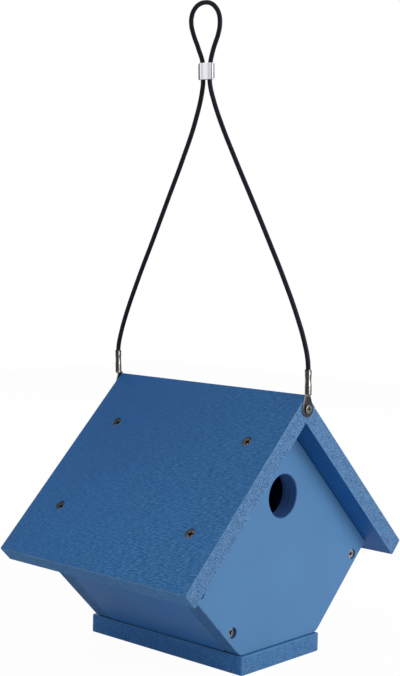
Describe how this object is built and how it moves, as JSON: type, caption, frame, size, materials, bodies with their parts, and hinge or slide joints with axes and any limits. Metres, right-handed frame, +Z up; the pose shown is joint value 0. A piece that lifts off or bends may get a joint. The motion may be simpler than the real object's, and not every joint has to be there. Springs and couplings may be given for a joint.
{
  "type": "wren roost box",
  "caption": "Hanging wren house of thick blue recycled-plastic boards with a 45-degree gable roof, a round entrance, a swinging clean-out side and a looped cable hanger.",
  "frame": {"origin": "middle of the floor board's underside plane, below the middle of the roof", "axes": "+Z up; the entrance looks along -Y; the ridge runs along Y; +X is the clean-out door's side"},
  "size_m": [0.222, 0.1786, 0.4357],
  "materials": {
    "recycled_plastic": "satin blue, brushed faces, mottled sawn edges",
    "screw_steel": "dull grey-bronze plated steel",
    "lug_nickel": "dark nickel plate",
    "cable_coating": "black vinyl coating with a soft sheen",
    "ferrule_aluminium": "bright pressed aluminium"
  },
  "bodies": {
    "house": {"roof_board_left": "recycled_plastic", "roof_board_right": "recycled_plastic", "front_wall": "recycled_plastic", "back_wall": "recycled_plastic", "side_wall_left": "recycled_plastic", "floor_board": "recycled_plastic", "roof_screw_left_front_upper": "screw_steel", "roof_screw_left_front_lower": "screw_steel", "roof_screw_left_back_upper": "screw_steel", "roof_screw_left_back_lower": "screw_steel", "roof_screw_right_front_upper": "screw_steel", "roof_screw_right_front_lower": "screw_steel", "roof_screw_right_back_upper": "screw_steel", "roof_screw_right_back_lower": "screw_steel", "wall_screw_front_upper": "screw_steel", "wall_screw_front_lower": "screw_steel", "wall_screw_back_upper": "screw_steel", "wall_screw_back_lower": "screw_steel", "door_pivot_screw_front": "screw_steel", "door_pivot_screw_back": "screw_steel", "floor_screw_front_left": "screw_steel", "floor_screw_front_right": "screw_steel", "floor_screw_back_left": "screw_steel", "floor_screw_back_right": "screw_steel", "lug_screw_front": "screw_steel", "lug_screw_back": "screw_steel"},
    "door": {"clean_out_door": "recycled_plastic"},
    "hanger": {"cable_lug_front": "lug_nickel", "cable_lug_back": "lug_nickel", "hanger_cable": "cable_coating", "cable_ferrule": "ferrule_aluminium"}
  },
  "joints": [
    {"name": "door_hinge", "type": "hinge", "parent": "house", "child": "door", "pos_m": [0.07831, -0.00125, 0.06046], "axis": [0, -1, 0], "range_deg": [0, 115]},
    {"name": "hanger_hinge", "type": "hinge", "parent": "house", "child": "hanger", "pos_m": [0, 0, 0.17039], "axis": [0, 1, 0], "range_deg": [-81.6, 86.4]}
  ]
}
